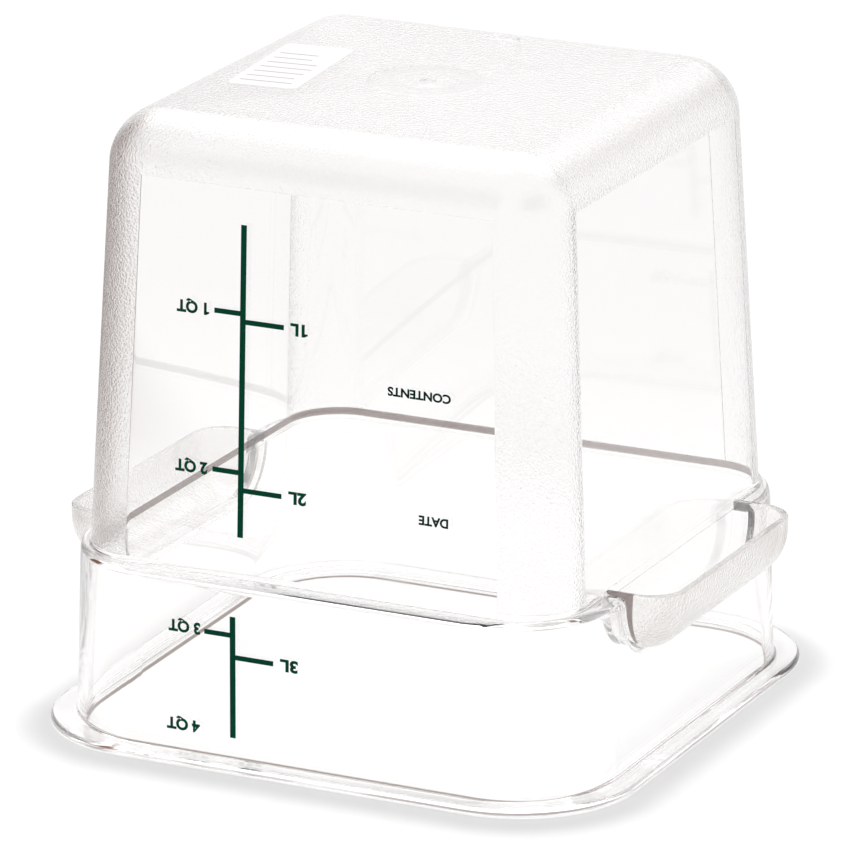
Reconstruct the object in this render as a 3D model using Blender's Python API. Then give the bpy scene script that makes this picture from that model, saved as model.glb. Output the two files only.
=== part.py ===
"""A square food storage container, upside down on its rim.

One clear moulding with two scoop handles, a plain label on its base and a printed volume scale
on its front face. The rim's open face lies in z = 0, +Z goes up to the base, the handles are on
-X and +X, and the printed face looks along -Y. Lengths are in metres.
"""

from math import cos, hypot, pi, radians, sin, sqrt

import bmesh
import bpy

# Rim flange, the flat edge round the mouth
RIM_REACH = 0.0067
RIM_THICKNESS = 0.0024
RIM_CORNER = 0.0370
RIM_EDGE_ROUND = 0.0010
RIM_FILLET = 0.0012

# Collar, the wide band between the rim and the shoulder
COLLAR_HEIGHT = 0.0517
COLLAR_SPREAD = 0.0008
COLLAR_CORNER_LOW = 0.0335
COLLAR_CORNER_HIGH = 0.0350

# Shoulder, the rounded step from the collar in to the body
SHOULDER_STEP = 0.0065
SHOULDER_ROUND = 0.0028
SHOULDER_FILLET = 0.0015

# Body, the tapered square tub, and its base
HEIGHT = 0.1850
BODY_HALF = 0.0725
BODY_SPREAD = 0.0055
BODY_CORNER_LOW = 0.0190
BODY_CORNER_HIGH = 0.0178
BASE_ROUND = 0.0174

# One wall thickness, as the moulding has
WALL = 0.0024
MOUTH_ROUND = 0.0008

# The small dimple that the gate leaves in the middle of the base
GATE_RADIUS = 0.0022
GATE_DEPTH = 0.0006

# Scoop handles, one on each side
HANDLE_REACH = 0.0139
HANDLE_HALF_LENGTH = 0.0460
HANDLE_CORNER = 0.0105
HANDLE_RISE = 0.0010
HANDLE_SKIRT = 0.0040
HANDLE_DEPTH = 0.0158
HANDLE_WALL = 0.0021
HANDLE_LIP = 0.0007

# Finger space behind each handle: its back stands this far off the body's face, run on downwards
RECESS_STEP = 0.00005

# Pad that the finger space raises on the inside of the collar
PAD_FILLET = 0.0018
PAD_ROUND = 0.0015

# Share of the wall's thickness that handles and pads keep short of its far face, where they join it
ROOT_SHARE = 0.2

# Label on the base
LABEL_WIDTH = 0.0215
LABEL_LENGTH = 0.0475
LABEL_CORNER = 0.0020
LABEL_THICKNESS = 0.00015
LABEL_X = -0.0425
LABEL_Y = -0.0030
LABEL_TURN = radians(5)

# Printed volume scale on the front face
INK_THICKNESS = 0.00015
BAR_HALF_WIDTH = 0.0009
TICK_HALF_HEIGHT = 0.00075
QUART_TICK = 0.0082
LITRE_TICK = 0.0121
UPPER_BAR_X = -0.0221
UPPER_BAR_TOP = 0.1580
UPPER_BAR_FOOT = 0.0665
QUARTS_UPPER = (0.1322, 0.0856)
LITRES_UPPER = (0.1299, 0.0805)
LOWER_BAR_X = -0.0211
LOWER_BAR_TOP = 0.0450
LOWER_BAR_FOOT = 0.0085
QUARTS_LOWER = (0.0394,)
LITRES_LOWER = (0.0329,)

# Gap that a separate piece keeps from what it lies on, and how far a cut runs past a face
SEAT_GAP = 0.0003
OVERRUN = 0.0040

# Colours as they look in daylight, in linear light
CLEAR_COLOUR = (0.86, 0.86, 0.84)
LABEL_COLOUR = (0.90, 0.90, 0.88)
INK_COLOUR = (0.0, 0.073, 0.038)

# Least plan corner radius, where the base's round would draw a corner to a point
LEAST_CORNER = 0.0010

# How finely round stretches are divided
CORNER_STEPS = 10
ARC_STEPS = 6
BASE_STEPS = 9

# Sizes worked out from the ones above
SHOULDER_TOP = COLLAR_HEIGHT + SHOULDER_ROUND + SHOULDER_FILLET
SHELF = COLLAR_HEIGHT + SHOULDER_ROUND
BASE_START = HEIGHT - BASE_ROUND
BODY_HALF_LOW = BODY_HALF + BODY_SPREAD
COLLAR_HALF_HIGH = BODY_HALF_LOW + SHOULDER_STEP
COLLAR_HALF_LOW = COLLAR_HALF_HIGH + COLLAR_SPREAD
RIM_HALF = COLLAR_HALF_LOW + RIM_REACH
HANDLE_TOP = SHELF + HANDLE_RISE
HANDLE_FAR = COLLAR_HALF_HIGH + HANDLE_REACH
SKIRT_FOOT = HANDLE_TOP - HANDLE_SKIRT
BOWL_SPAN = HANDLE_REACH + WALL / 2


def mix(low, high, share):
    """The value that lies this share of the way from low to high."""
    return low + (high - low) * share


def collar_half(z):
    """Half the collar's width at height z."""
    return mix(COLLAR_HALF_LOW, COLLAR_HALF_HIGH, z / COLLAR_HEIGHT)


def body_half(z):
    """Half the body's width at height z, also where its face runs on down behind a handle."""
    return mix(BODY_HALF_LOW, BODY_HALF, (z - SHOULDER_TOP) / (BASE_START - SHOULDER_TOP))


def shoulder_corner(half):
    """Plan corner radius on the shoulder, from the body's at its top to the collar's at its foot."""
    share = (half - BODY_HALF_LOW) / SHOULDER_STEP
    return mix(BODY_CORNER_LOW, COLLAR_CORNER_HIGH, share)


def quarter(steps):
    """Angles from 0 to a quarter turn, both ends included."""
    return [pi / 2 * step / steps for step in range(steps + 1)]


def outer_profile():
    """(half width, height, plan corner radius) up the outside, from the collar's foot to the base."""
    points = []
    for angle in quarter(ARC_STEPS):
        half = COLLAR_HALF_LOW + RIM_FILLET * (1 - sin(angle))
        z = RIM_THICKNESS + RIM_FILLET * (1 - cos(angle))
        points.append((half, z, COLLAR_CORNER_LOW + half - COLLAR_HALF_LOW))
    for angle in quarter(ARC_STEPS):
        half = COLLAR_HALF_HIGH - SHOULDER_ROUND * (1 - cos(angle))
        points.append((half, COLLAR_HEIGHT + SHOULDER_ROUND * sin(angle), shoulder_corner(half)))
    for angle in quarter(ARC_STEPS):
        half = BODY_HALF_LOW + SHOULDER_FILLET * (1 - sin(angle))
        z = SHOULDER_TOP - SHOULDER_FILLET * cos(angle)
        points.append((half, z, shoulder_corner(half)))
    for angle in quarter(BASE_STEPS):
        inset = BASE_ROUND * (1 - cos(angle))
        points.append((BODY_HALF - inset, BASE_START + BASE_ROUND * sin(angle), BODY_CORNER_HIGH - inset))
    return points


def inner_profile(outer):
    """The outer profile moved in by the wall thickness, square to it."""
    points = []
    for place, (half, z, corner) in enumerate(outer):
        before = outer[max(place - 1, 0)]
        after = outer[min(place + 1, len(outer) - 1)]
        run = (after[0] - before[0], after[1] - before[1])
        length = hypot(*run)
        aside = WALL * run[1] / length
        points.append((half - aside, z + WALL * run[0] / length, corner - aside))
    return points


def square_ring(half, z, corner):
    """Points round a square with round corners, anticlockwise from the +X side."""
    corner = max(corner, LEAST_CORNER)
    middle = half - corner
    signs = ((1, 1), (-1, 1), (-1, -1), (1, -1))
    ring = []
    for turn, (sx, sy) in enumerate(signs):
        for angle in quarter(CORNER_STEPS):
            a = angle + turn * pi / 2
            ring.append((sx * middle + corner * cos(a), sy * middle + corner * sin(a), z))
    return ring


def pocket_ring(side, near, far, half_length, z, corner):
    """Points round a rectangle from near to far along side * X, its two far corners round."""
    ring = []
    for turn, sy in ((-1, -1), (0, 1)):
        for angle in quarter(CORNER_STEPS):
            a = angle + turn * pi / 2
            ring.append((far - corner + corner * cos(a), sy * (half_length - corner) + corner * sin(a), z))
    ring += [(near, half_length, z), (near, -half_length, z)]
    return [(side * x, y, z) for x, y, z in ring]


def loft(name, rings):
    """A closed object through rings of equal point counts, with both ends capped."""
    mesh = bmesh.new()
    rows = [[mesh.verts.new(point) for point in ring] for ring in rings]
    for row, above in zip(rows, rows[1:]):
        for place, corner in enumerate(row):
            after = (place + 1) % len(row)
            mesh.faces.new((corner, row[after], above[after], above[place]))
    mesh.faces.new(rows[0])
    mesh.faces.new(rows[-1])
    return finished(name, mesh)


def finished(name, mesh):
    """Turn a bmesh into an object of the scene, with its faces pointing out."""
    bmesh.ops.recalc_face_normals(mesh, faces=mesh.faces)
    data = bpy.data.meshes.new(name)
    mesh.to_mesh(data)
    mesh.free()
    made = bpy.data.objects.new(name, data)
    bpy.context.scene.collection.objects.link(made)
    return made


def combine(target, tool, operation):
    """Join a tool to the target, or cut it out, and keep the tool as a hidden guide."""
    step = target.modifiers.new(f"{operation.lower()} {tool.name}", "BOOLEAN")
    step.operation = operation
    step.object = tool
    step.solver = "EXACT"
    tool.hide_render = True
    tool.display_type = "WIRE"


def paint(made, label, colour, roughness):
    """Give an object its own Principled material."""
    material = bpy.data.materials.new(label)
    material.use_nodes = True
    shader = material.node_tree.nodes["Principled BSDF"]
    shader.inputs["Base Color"].default_value = (*colour, 1)
    shader.inputs["Roughness"].default_value = roughness
    shader.inputs["Metallic"].default_value = 0
    made.data.materials.append(material)
    return shader


def tub():
    """The open shell: in along the rim, up the outside, over the base and down the inside."""
    outer = outer_profile()
    inner = inner_profile(outer)
    mouth = COLLAR_HALF_LOW - WALL
    mouth_corner = COLLAR_CORNER_LOW - WALL
    inside = inner[:ARC_STEPS:-1]
    for angle in quarter(ARC_STEPS):
        out = MOUTH_ROUND * (1 - cos(angle))
        inside.append((mouth + out, MOUTH_ROUND * (1 - sin(angle)), mouth_corner + out))
    edge = []
    for angle in quarter(ARC_STEPS):
        drop = RIM_EDGE_ROUND * (1 - sin(angle))
        edge.append((RIM_HALF - drop, RIM_EDGE_ROUND * (1 - cos(angle)), RIM_CORNER - drop))
    edge += [(half, RIM_THICKNESS - z, corner) for half, z, corner in reversed(edge)]
    return loft("container", [square_ring(*point) for point in inside + edge + outer])


def handle_arc(thickness):
    """(inset, z) down round the handle's bowl, moved in by a thickness."""
    span = BOWL_SPAN - thickness
    depth = HANDLE_DEPTH - thickness
    return [(thickness + span * (1 - cos(a)), SKIRT_FOOT - depth * sin(a)) for a in quarter(BASE_STEPS)]


def handle_ring(side, near, inset, z):
    """The handle's plan outline, moved in by an inset, its corners tighter where it is narrower."""
    far = HANDLE_FAR - inset
    corner = HANDLE_CORNER * (far - near) / (HANDLE_FAR - near)
    return pocket_ring(side, near, far, HANDLE_HALF_LENGTH - inset, z, corner)


def scoop(side):
    """The handle's outer shape, rooted in the collar's wall and, over the shelf, in the body's wall."""
    low_root = COLLAR_HALF_HIGH - WALL * (1 - ROOT_SHARE)
    high_root = BODY_HALF_LOW - WALL * ROOT_SHARE
    rings = [handle_ring(side, low_root, inset, z) for inset, z in reversed(handle_arc(0))]
    rings.append(handle_ring(side, high_root, 0, SHELF - WALL / 2))
    for angle in quarter(ARC_STEPS):
        inset = HANDLE_LIP * (1 - cos(angle))
        rings.append(handle_ring(side, high_root, inset, HANDLE_TOP - HANDLE_LIP * (1 - sin(angle))))
    return loft(f"scoop {side:+d}", rings)


def recess_face(z):
    """Where the finger space ends at height z: on the body's face, run on downwards."""
    return body_half(z) + RECESS_STEP


def trough(side):
    """The finger space inside a handle, running out past its top."""
    places = list(reversed(handle_arc(HANDLE_WALL)))
    for angle in quarter(ARC_STEPS):
        lip = HANDLE_LIP * (1 - cos(angle))
        places.append((HANDLE_WALL - lip, HANDLE_TOP - HANDLE_LIP * (1 - sin(angle))))
    places.append((HANDLE_WALL - HANDLE_LIP, HANDLE_TOP + OVERRUN))
    return loft(f"trough {side:+d}", [handle_ring(side, recess_face(z), inset, z) for inset, z in places])


def pad_top(x):
    """The middle of the wall's thickness at x, in the turn from the body's wall to the shelf."""
    middle = BODY_HALF_LOW + SHOULDER_FILLET
    radius = SHOULDER_FILLET + WALL / 2
    return SHOULDER_TOP - sqrt(max(radius**2 - max(middle - x, 0) ** 2, 0))


def pad_ring(side, share, spread):
    """The bowl's outline across the wall, a share of the way from the pad's face to the collar's inside."""
    spread += WALL - HANDLE_WALL
    top = pad_top(mix(recess_face(SHOULDER_TOP), collar_half(SHOULDER_TOP), share) - WALL)
    half = [(HANDLE_HALF_LENGTH + spread, top)]
    for a in quarter(BASE_STEPS):
        across = HANDLE_HALF_LENGTH - BOWL_SPAN + (BOWL_SPAN + spread) * cos(a)
        half.append((across, SKIRT_FOOT - (HANDLE_DEPTH + spread) * sin(a)))
    outline = half + [(-y, z) for y, z in reversed(half)]
    return [(side * (mix(recess_face(z), collar_half(z), share) - WALL), y, z) for y, z in outline]


def pad(side):
    """The wall behind a handle: it stands into the cavity with a round edge and a fillet at its foot."""
    depth = collar_half(SHELF) - recess_face(SHELF)
    rings = []
    for angle in quarter(ARC_STEPS):
        rings.append(pad_ring(side, PAD_ROUND * (1 - sin(angle)) / depth, -PAD_ROUND * (1 - cos(angle))))
    rings.reverse()
    for angle in reversed(quarter(ARC_STEPS)):
        share = 1 - PAD_FILLET * (1 - cos(angle)) / depth
        rings.append(pad_ring(side, share, PAD_FILLET * (1 - sin(angle))))
    rings.append(pad_ring(side, 1 + WALL * ROOT_SHARE / depth, PAD_FILLET))
    return loft(f"pad {side:+d}", rings)


def disc(name, radius, low, high):
    """A plain upright cylinder on the middle axis."""
    count = 4 * CORNER_STEPS
    turns = [2 * pi * place / count for place in range(count)]
    return loft(name, [[(radius * cos(a), radius * sin(a), z) for a in turns] for z in (low, high)])


def container():
    """The whole moulding: the tub, its two handles, their finger spaces and the gate's dimple."""
    shell = tub()
    for side in (-1, 1):
        combine(shell, pad(side), "UNION")
        combine(shell, scoop(side), "UNION")
    for side in (-1, 1):
        combine(shell, trough(side), "DIFFERENCE")
    combine(shell, disc("gate", GATE_RADIUS, HEIGHT - GATE_DEPTH, HEIGHT + OVERRUN), "DIFFERENCE")
    shader = paint(shell, "clear_polycarbonate", CLEAR_COLOUR, 0.08)
    shader.inputs["IOR"].default_value = 1.58
    shader.inputs["Transmission Weight"].default_value = 1
    return shell


def label():
    """The plain label, a thin plate with round corners, turned a little as it was stuck on."""
    rows = []
    low = HEIGHT + SEAT_GAP
    for z in (low, low + LABEL_THICKNESS):
        row = []
        for turn, (sx, sy) in enumerate(((1, 1), (-1, 1), (-1, -1), (1, -1))):
            for angle in quarter(ARC_STEPS):
                a = angle + turn * pi / 2
                x = sx * (LABEL_WIDTH / 2 - LABEL_CORNER) + LABEL_CORNER * cos(a)
                y = sy * (LABEL_LENGTH / 2 - LABEL_CORNER) + LABEL_CORNER * sin(a)
                along = LABEL_X + x * cos(LABEL_TURN) - y * sin(LABEL_TURN)
                across = LABEL_Y + x * sin(LABEL_TURN) + y * cos(LABEL_TURN)
                row.append((along, across, z))
        rows.append(row)
    made = loft("base_label", rows)
    paint(made, "label_film", LABEL_COLOUR, 0.45)
    return made


def scale_outline(bar_x, top, foot, quarts, litres):
    """(x, z) round a bar with its quart ticks on the -X side and its litre ticks on the +X side."""
    left = bar_x - BAR_HALF_WIDTH
    right = bar_x + BAR_HALF_WIDTH
    points = [(left, top)]
    for z in quarts:
        points += [(left, z + TICK_HALF_HEIGHT), (left - QUART_TICK, z + TICK_HALF_HEIGHT)]
        points += [(left - QUART_TICK, z - TICK_HALF_HEIGHT), (left, z - TICK_HALF_HEIGHT)]
    points += [(left, foot), (right, foot)]
    for z in reversed(litres):
        points += [(right, z - TICK_HALF_HEIGHT), (right + LITRE_TICK, z - TICK_HALF_HEIGHT)]
        points += [(right + LITRE_TICK, z + TICK_HALF_HEIGHT), (right, z + TICK_HALF_HEIGHT)]
    return points + [(right, top)]


def scale(name, outline, half_at):
    """A printed scale: its outline laid on the sloping front face as a film of ink."""
    rings = []
    for off in (SEAT_GAP, SEAT_GAP + INK_THICKNESS):
        rings.append([(x, -half_at(z) - off, z) for x, z in outline])
    made = loft(name, rings)
    paint(made, f"{name}_ink", INK_COLOUR, 0.5)
    return made


def main():
    """Clear the scene and build the container's pieces."""
    for old in list(bpy.data.objects):
        bpy.data.objects.remove(old)
    shell = container()
    shell.data.shade_smooth()
    label()
    upper = scale_outline(UPPER_BAR_X, UPPER_BAR_TOP, UPPER_BAR_FOOT, QUARTS_UPPER, LITRES_UPPER)
    scale("scale_upper", upper, body_half)
    lower = scale_outline(LOWER_BAR_X, LOWER_BAR_TOP, LOWER_BAR_FOOT, QUARTS_LOWER, LITRES_LOWER)
    scale("scale_lower", lower, collar_half)


main()
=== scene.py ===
"""The looks of a clear square food storage container that stands upside down on its rim.

The moulding is lofted again from its own section, with finer steps than the frame's solid, so that light
bends through it as through the real thing: polished windows in its four sides, and a fine stipple on its
corners, its base and its handles. The volume scale, its lettering and the base's label lie on its skin.
Lengths are in metres, +Z runs from the rim up to the base, and the printed face looks along -Y.
"""

import logging
from collections.abc import Sequence
from dataclasses import dataclass, fields, replace
from enum import Enum
from math import cos, hypot, pi, radians, sin, sqrt
from typing import NamedTuple

import bmesh
import bpy
from mathutils import Matrix, Vector


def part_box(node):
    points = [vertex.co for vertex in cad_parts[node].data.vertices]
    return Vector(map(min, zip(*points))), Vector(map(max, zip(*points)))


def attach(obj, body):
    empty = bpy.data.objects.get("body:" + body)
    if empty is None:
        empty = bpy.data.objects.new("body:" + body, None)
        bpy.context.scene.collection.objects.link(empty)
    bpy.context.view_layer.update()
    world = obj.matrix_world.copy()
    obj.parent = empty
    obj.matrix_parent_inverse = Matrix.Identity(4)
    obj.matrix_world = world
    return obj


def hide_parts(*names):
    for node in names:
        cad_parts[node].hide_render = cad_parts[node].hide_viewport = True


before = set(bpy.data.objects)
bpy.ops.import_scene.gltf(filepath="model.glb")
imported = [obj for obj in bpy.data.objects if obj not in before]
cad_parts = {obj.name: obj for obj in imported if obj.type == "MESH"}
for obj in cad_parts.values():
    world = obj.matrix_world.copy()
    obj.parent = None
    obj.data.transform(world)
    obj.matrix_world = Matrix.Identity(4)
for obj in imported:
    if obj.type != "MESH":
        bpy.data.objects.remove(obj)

log = logging.getLogger("container")
BODY = "root"
WHITE = (1.0, 1.0, 1.0)
UNIT_CUBE = (1.0, 1.0, 1.0)
INK_FILM = 0.00005
INK_GAP = 0.00003
WHOLLY_OUTSIDE = 0.99

Point = tuple[float, float, float]
Socket = bpy.types.NodeSocket
Sockets = bpy.types.bpy_prop_collection
Value = Socket | float | int | bool | str | tuple[float, ...] | bpy.types.Material


class Side(Enum):
    """The two sides that carry a handle, by the sign of their X."""

    LEFT = -1
    RIGHT = 1


class Join(Enum):
    """How one closed shape is set against another."""

    ADD = "UNION"
    CUT = "DIFFERENCE"


class Skin(Enum):
    """Which face of the moulding a stretch of its section belongs to."""

    INSIDE = 0.0
    OUTSIDE = 1.0


class Kind(Enum):
    """What an input or an output of a node group carries."""

    NUMBER = "NodeSocketFloat"
    COUNT = "NodeSocketInt"
    VECTOR = "NodeSocketVector"
    GEOMETRY = "NodeSocketGeometry"
    MATERIAL = "NodeSocketMaterial"


class Section(NamedTuple):
    """One point of the tub's section: half the width there, its height and its plan corner radius."""

    half: float
    z: float
    corner: float


def mix(low: float, high: float, share: float) -> float:
    """The value that lies this share of the way from low to high."""
    return low + (high - low) * share


def quarter(steps: int) -> list[float]:
    """Angles from 0 to a quarter turn in even steps, both ends included."""
    return [pi / 2 * step / steps for step in range(steps + 1)]


def titled(source: object, *names: str) -> dict[str, Value]:
    """Some of a class's sizes, by the titles that a node group's inputs have.

    Args:
        source: what holds the sizes.
        names: the fields that are wanted.

    Returns:
        The sizes by title.
    """
    return {name.replace("_", " ").title(): getattr(source, name) for name in names}


class Tree:
    """Adds nodes to a node tree and wires them by value."""

    def __init__(self, tree: bpy.types.NodeTree) -> None:
        """Take hold of the shader, world or geometry tree to build in."""
        self.tree = tree

    def feed(self, socket: Socket, value: Value) -> None:
        """Link an output to an input, or set the input's own value.

        Args:
            socket: the input to feed.
            value: an output of another node, or a plain value.
        """
        if isinstance(value, Socket):
            self.tree.links.new(value, socket)
        else:
            socket.default_value = value

    def add(
        self, kind: str, inputs: dict[str | int, Value] | None = None, **settings: object
    ) -> bpy.types.Node:
        """Add a node.

        Args:
            kind: the node's type name.
            inputs: values or outputs by input name or place.
            settings: the node's own properties.

        Returns:
            The new node.
        """
        node = self.tree.nodes.new(kind)
        for name, value in settings.items():
            setattr(node, name, value)
        for name, value in (inputs or {}).items():
            self.feed(node.inputs[name], value)
        return node

    def math(self, operation: str, *values: Value) -> Socket:
        """What a Math node makes of its values, in order, by an operation such as "ADD"."""
        return self.add("ShaderNodeMath", dict(enumerate(values)), operation=operation).outputs[0]

    def product(self, first: Value, *others: Value) -> Socket:
        """All the values, multiplied.

        Args:
            first: the first value.
            others: the rest of them.

        Returns:
            The product.
        """
        for other in others:
            first = self.math("MULTIPLY", first, other)
        return first

    def inverse(self, mask: Value) -> Socket:
        """A mask turned round: 1 where it is 0."""
        return self.math("SUBTRACT", 1.0, mask)

    def distance(self, x: Value, y: Value) -> Socket:
        """How far (x, y) is from (0, 0)."""
        return self.math("SQRT", self.math("ADD", self.math("POWER", x, 2.0), self.math("POWER", y, 2.0)))

    def azimuth(self, parts: Sockets) -> Socket:
        """The angle of (X, Y) from -Y, towards +X."""
        return self.math("ARCTAN2", parts["X"], self.math("MULTIPLY", parts["Y"], -1.0))

    def turn(self, angle: Value, middle: float) -> Socket:
        """How far an angle is turned from a middle, either way."""
        return self.math("ABSOLUTE", self.math("WRAP", self.math("SUBTRACT", angle, middle), -pi, pi))

    def parts(self, vector: Value) -> Sockets:
        """X, Y and Z of a vector."""
        return self.add("ShaderNodeSeparateXYZ", {0: vector}).outputs

    def vector(self, x: Value, y: Value, z: Value) -> Socket:
        """A vector of three numbers."""
        return self.add("ShaderNodeCombineXYZ", {0: x, 1: y, 2: z}).outputs[0]

    def spot(self) -> Socket:
        """The shaded place, in the object's own coordinates."""
        return self.add("ShaderNodeTexCoord").outputs["Object"]

    def attribute(self, name: str) -> Socket:
        """A named number of a geometry's points."""
        node = self.add("GeometryNodeInputNamedAttribute", {"Name": name}, data_type="FLOAT")
        return node.outputs["Attribute"]

    def blend(self, mask: Value, low: Point, high: Point) -> Socket:
        """A colour that a mask turns from one to another.

        Args:
            mask: the mask, from 0 to 1.
            low: the colour at 0, in linear light.
            high: the colour at 1.

        Returns:
            The colour's output.
        """
        node = self.add("ShaderNodeMix", {"Factor": mask}, data_type="RGBA")
        ends = [item for item in node.inputs if item.type == "RGBA"]
        for end, colour in zip(ends, (low, high)):
            end.default_value = (*colour, 1.0)
        return next(item for item in node.outputs if item.type == "RGBA")

    def ramp(self, value: Value, start: Value, end: Value) -> Socket:
        """A smooth step.

        Args:
            value: what is read.
            start: where the step is still 0.
            end: where the step reaches 1.

        Returns:
            The step's output, from 0 to 1.
        """
        inputs = {"Value": value, "From Min": start, "From Max": end}
        return self.add("ShaderNodeMapRange", inputs, interpolation_type="SMOOTHSTEP").outputs[0]

    def slope(self, given: Sockets, z: Socket) -> Socket:
        """Half a width at a height, which goes from Half Low at Low to Half High at High.

        Args:
            given: what a group's inputs give, with those four among them.
            z: the height.

        Returns:
            Half the width.
        """
        inputs = {"Value": z, "From Min": given["Low"], "From Max": given["High"]}
        inputs |= {"To Min": given["Half Low"], "To Max": given["Half High"]}
        return self.add("ShaderNodeMapRange", inputs, clamp=False).outputs[0]

    def bump(self, shader: bpy.types.Node, height: Value, depth: float) -> None:
        """Let a height move a Principled node's normal.

        Args:
            shader: the Principled node.
            height: the height, from 0 to 1.
            depth: the bump's depth where the height is 1.
        """
        node = self.add("ShaderNodeBump", {"Height": height, "Distance": depth, "Strength": 1.0})
        self.feed(shader.inputs["Normal"], node.outputs["Normal"])


def new_group(
    kind: str, name: str, inputs: dict[str, Kind | float], outputs: dict[str, Kind]
) -> tuple[Tree, Sockets]:
    """Start a node group.

    Args:
        kind: "ShaderNodeTree" or "GeometryNodeTree".
        name: the group's name.
        inputs: what each input carries, or for a number also the value that it has unless it is set.
        outputs: what each output carries.

    Returns:
        What builds in the group, and what its inputs give there.
    """
    tree = bpy.data.node_groups.new(name, kind)
    for title, given in inputs.items():
        plain = not isinstance(given, Kind)
        carried = Kind.NUMBER if plain else given
        made = tree.interface.new_socket(name=title, in_out="INPUT", socket_type=carried.value)
        if plain:
            made.default_value = given
    for title, given in outputs.items():
        tree.interface.new_socket(name=title, in_out="OUTPUT", socket_type=given.value)
    build = Tree(tree)
    return build, build.add("NodeGroupInput").outputs


@dataclass(frozen=True)
class Windows:
    """The polished windows in the four sides, which narrow towards the base as the sides do."""

    half_low: float = 0.0590
    half_high: float = 0.0548
    low: float = 0.0600
    high: float = 0.1685
    foot: float = 0.0560
    edge: float = 0.0003
    ring_in: float = 0.0085
    ring_out: float = 0.0178
    ring_soft: float = 0.0024
    ring_share: float = 0.6

    def sizes(self) -> dict[str, Value]:
        """All the sizes, by the titles of the window group's inputs."""
        return titled(self, *(item.name for item in fields(self)))


def stipple_group() -> bpy.types.NodeTree:
    """The fine spark-eroded grain of the mould, as a height and a mask of its pits.

    Returns:
        A shader group with the outputs Height and Pits.
    """
    inputs = {"Grain": 0.0009, "Detail": 2.0, "Coarseness": 0.55, "Pit Edge": 0.42, "Pit Floor": 0.30}
    outputs = {"Height": Kind.NUMBER, "Pits": Kind.NUMBER}
    build, given = new_group("ShaderNodeTree", "stipple", inputs, outputs)
    inputs = {"Vector": build.spot(), "Scale": build.math("DIVIDE", 1.0, given["Grain"])}
    inputs |= {"Detail": given["Detail"], "Roughness": given["Coarseness"]}
    grain = build.add("ShaderNodeTexNoise", inputs).outputs["Fac"]
    pits = build.ramp(grain, given["Pit Edge"], given["Pit Floor"])
    build.add("NodeGroupOutput", {"Height": grain, "Pits": pits})
    return build.tree


def window_group() -> bpy.types.NodeTree:
    """Where the outside is stippled: everywhere over the shoulder but for a polished window in each side.

    Returns:
        A shader group that puts out Stippled, 1 on the stipple, less in a ring round the gate, and 0 in a
        window and under the shoulder.
    """
    build, given = new_group("ShaderNodeTree", "window", Windows().sizes(), {"Stippled": Kind.NUMBER})
    parts = build.parts(build.spot())
    across = build.math("MINIMUM", build.math("ABSOLUTE", parts["X"]), build.math("ABSOLUTE", parts["Y"]))
    reach = build.distance(parts["X"], parts["Y"])

    def past(value: Socket, start: Socket, soft: str) -> Socket:
        """A mask that rises from 0 where a value passes its start."""
        return build.ramp(build.math("SUBTRACT", value, start), 0.0, given[soft])

    beside = past(across, build.slope(given, parts["Z"]), "Edge")
    over = past(parts["Z"], given["High"], "Edge")
    grained = build.product(build.math("MAXIMUM", beside, over), past(parts["Z"], given["Foot"], "Edge"))
    ring = past(given["Ring Out"], reach, "Ring Soft")
    ring = build.product(ring, past(reach, given["Ring In"], "Ring Soft"))
    kept = build.inverse(build.product(ring, given["Ring Share"]))
    build.add("NodeGroupOutput", {"Stippled": build.product(grained, kept)})
    return build.tree


def handling_group() -> bpy.types.NodeTree:
    """The faint smears and dust that years of washing leave.

    Returns:
        A shader group that puts out a surface's Roughness, which is Base where nothing lies on it.
    """
    inputs = {"Base": 0.02, "Size": 0.03, "Amount": 0.02, "Detail": 3.0}
    inputs |= {"Smear Low": 0.5, "Smear High": 0.75}
    build, given = new_group("ShaderNodeTree", "handling", inputs, {"Roughness": Kind.NUMBER})
    scale = build.math("DIVIDE", 1.0, given["Size"])
    inputs = {"Vector": build.spot(), "Scale": scale, "Detail": given["Detail"]}
    smear = build.add("ShaderNodeTexNoise", inputs).outputs["Fac"]
    extra = build.product(build.ramp(smear, given["Smear Low"], given["Smear High"]), given["Amount"])
    build.add("NodeGroupOutput", {"Roughness": build.math("ADD", given["Base"], extra)})
    return build.tree


@dataclass(frozen=True)
class Effects:
    """The shader groups that several finishes share."""

    stipple: bpy.types.NodeTree
    window: bpy.types.NodeTree
    handling: bpy.types.NodeTree


def new_material(name: str) -> tuple[bpy.types.Material, Tree, bpy.types.Node]:
    """A material with nothing but its Principled node.

    Args:
        name: the material's name.

    Returns:
        The material, its tree and its Principled node.
    """
    made = bpy.data.materials.new(name)
    made.use_nodes = True
    return made, Tree(made.node_tree), made.node_tree.nodes["Principled BSDF"]


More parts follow.
